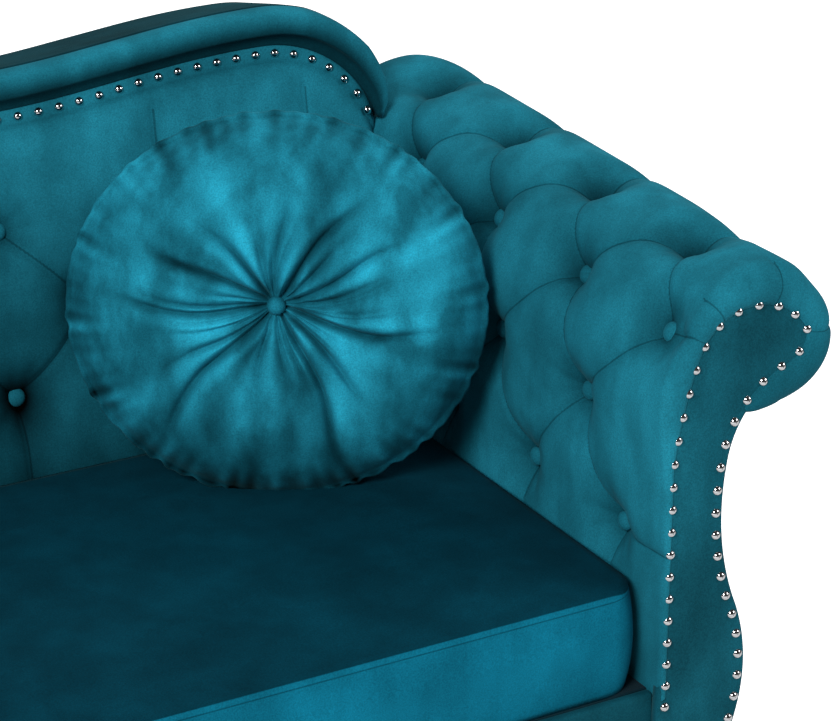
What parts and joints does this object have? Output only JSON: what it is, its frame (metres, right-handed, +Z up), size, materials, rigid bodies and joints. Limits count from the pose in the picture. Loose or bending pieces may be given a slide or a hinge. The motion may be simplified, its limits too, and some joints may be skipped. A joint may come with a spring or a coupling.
{
  "type": "three-seater sofa",
  "caption": "Velvet sofa with scroll arms, a buttoned serpentine back, nail-head trim, a bench seat cushion and round button pillows on turned legs.",
  "frame": {"origin": "on the floor under the middle of the sofa's box", "axes": "+X along the sofa to the viewer's right, -Y to the front, +Z up"},
  "size_m": [2.1, 0.8, 0.936],
  "materials": {
    "frame_wood": "sawn",
    "leg_wood": "dark satin",
    "steel": "zinc plated",
    "nail_metal": "polished",
    "velvet": "velvet",
    "seat_velvet": "velvet",
    "pillow_velvet": "velvet",
    "filling": "foam",
    "deck_cloth": "woven",
    "lining": "non-woven",
    "glide_plastic": "moulded"
  },
  "bodies": {
    "frame": {"front_seat_rail": "frame_wood", "back_seat_rail": "frame_wood", "back_sill_rail": "frame_wood", "side_seat_rail_left": "frame_wood", "side_seat_rail_right": "frame_wood", "seat_cross_rails": "frame_wood", "corner_blocks": "frame_wood", "back_posts": "frame_wood", "back_uprights": "frame_wood", "back_tacking_rail": "frame_wood", "back_top_rail": "frame_wood", "arm_front_board_left": "frame_wood", "arm_front_board_right": "frame_wood", "arm_top_rail_left": "frame_wood", "arm_top_rail_right": "frame_wood", "arm_rear_post_left": "frame_wood", "arm_rear_post_right": "frame_wood", "leg_front_left": "leg_wood", "leg_front_right": "leg_wood", "leg_rear_left": "leg_wood", "leg_rear_right": "leg_wood", "leg_centre_front": "leg_wood", "leg_centre_rear": "leg_wood", "leg_plates": "steel", "leg_bolts": "steel", "sinuous_springs": "steel", "spring_clips": "steel", "back_pad": "velvet", "back_top_border": "velvet", "back_outer_panel": "velvet", "arm_pad_left": "velvet", "arm_pad_right": "velvet", "arm_facing_left": "velvet", "arm_facing_right": "velvet", "arm_outer_panel_left": "velvet", "arm_outer_panel_right": "velvet", "front_rail_cover": "velvet", "back_buttons": "velvet", "arm_buttons_left": "velvet", "arm_buttons_right": "velvet", "back_nails": "nail_metal", "arm_nails_left": "nail_metal", "arm_nails_right": "nail_metal", "leg_glides": "glide_plastic", "deck_pad": "deck_cloth", "dust_cover": "lining"},
    "seat_cushion": {"seat_cushion_cover": "seat_velvet", "seat_cushion_core": "filling"},
    "pillow_left": {"pillow_cover_left": "pillow_velvet", "pillow_fill_left": "filling", "pillow_buttons_left": "pillow_velvet"},
    "pillow_right": {"pillow_cover_right": "pillow_velvet", "pillow_fill_right": "filling", "pillow_buttons_right": "pillow_velvet"}
  },
  "joints": [
    {"name": "seat_cushion_lift", "type": "slide", "parent": "frame", "child": "seat_cushion", "axis": [0, -0.6, 0.8], "range_m": [0, 0.45]},
    {"name": "pillow_left_lift", "type": "slide", "parent": "seat_cushion", "child": "pillow_left", "axis": [0, -0.6, 0.8], "range_m": [0, 0.5]},
    {"name": "pillow_right_lift", "type": "slide", "parent": "seat_cushion", "child": "pillow_right", "axis": [0, -0.6, 0.8], "range_m": [0, 0.5]}
  ]
}
